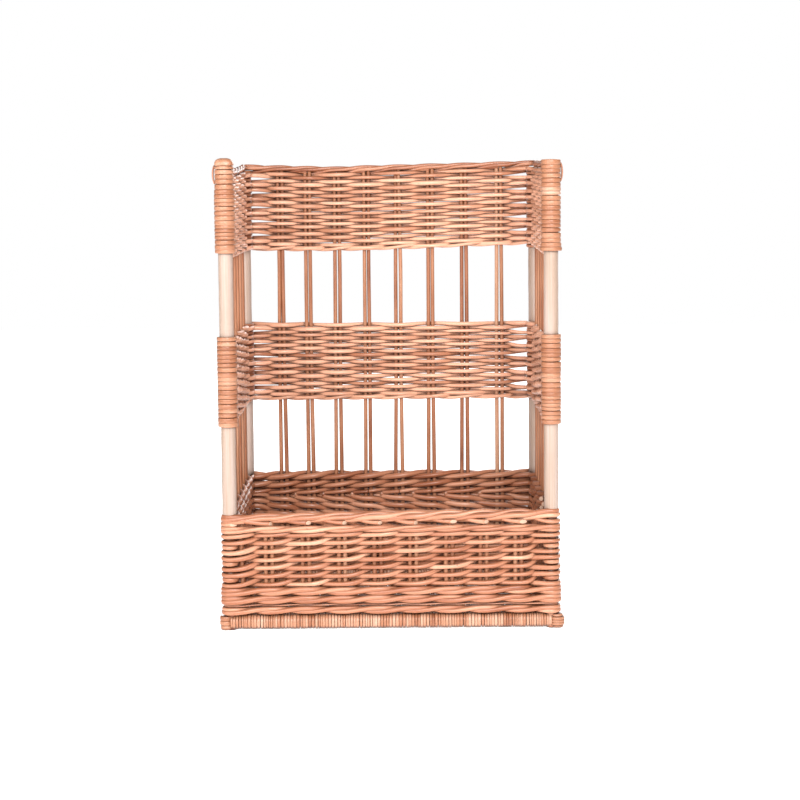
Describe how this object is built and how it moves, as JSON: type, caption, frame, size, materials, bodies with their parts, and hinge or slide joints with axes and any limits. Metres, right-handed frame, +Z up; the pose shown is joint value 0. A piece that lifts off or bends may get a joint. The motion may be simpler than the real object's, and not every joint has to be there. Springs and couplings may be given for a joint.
{
  "type": "baguette basket",
  "caption": "Tall free-standing woven willow basket with round corner posts, a low wall all round and woven bands at the back and sides, open at the front and top.",
  "frame": {"origin": "bottom centre of the basket, on the surface that the posts stand on", "axes": "+X to the right as seen from the open front, +Y to the back, +Z up"},
  "size_m": [0.4136, 0.311, 0.553],
  "materials": {
    "post_wood": "peeled and sanded pale wood, dry and matt",
    "weaver_willow": "boiled buff willow rods, smooth with a slight sheen",
    "stake_willow": "darker buff willow rods, smooth",
    "skein_willow": "split willow skein, flat and slightly glossy",
    "floor_willow": "buff willow rods, matt"
  },
  "bodies": {
    "root": {"post_front_left": "post_wood", "post_front_right": "post_wood", "post_rear_left": "post_wood", "post_rear_right": "post_wood", "rail_front": "stake_willow", "rail_front_winding": "skein_willow", "rail_right": "skein_willow", "rail_rear": "skein_willow", "rail_left": "skein_willow", "floor_stick_1": "floor_willow", "floor_stick_2": "floor_willow", "floor_stick_3": "floor_willow", "floor_stick_4": "floor_willow", "floor_weaver": "floor_willow", "bottom_wale_front": "weaver_willow", "bottom_wale_right": "weaver_willow", "bottom_wale_rear": "weaver_willow", "bottom_wale_left": "weaver_willow", "low_weave_front": "weaver_willow", "low_weave_right": "weaver_willow", "low_weave_rear": "weaver_willow", "low_weave_left": "weaver_willow", "top_wale_front": "weaver_willow", "top_wale_right": "weaver_willow", "top_wale_rear": "weaver_willow", "top_wale_left": "weaver_willow", "mid_band_rear": "weaver_willow", "mid_band_right": "weaver_willow", "mid_band_left": "weaver_willow", "top_band_rear": "weaver_willow", "top_band_right": "weaver_willow", "top_band_left": "weaver_willow", "stakes_and_border_front": "stake_willow", "stakes_and_border_rear": "stake_willow", "stakes_and_border_right": "stake_willow", "stakes_and_border_left": "stake_willow", "mid_winding_left": "skein_willow", "mid_winding_right": "skein_willow", "top_winding_left": "skein_willow", "top_winding_right": "skein_willow", "rim_end_left": "weaver_willow", "rim_end_right": "weaver_willow"}
  },
  "joints": []
}
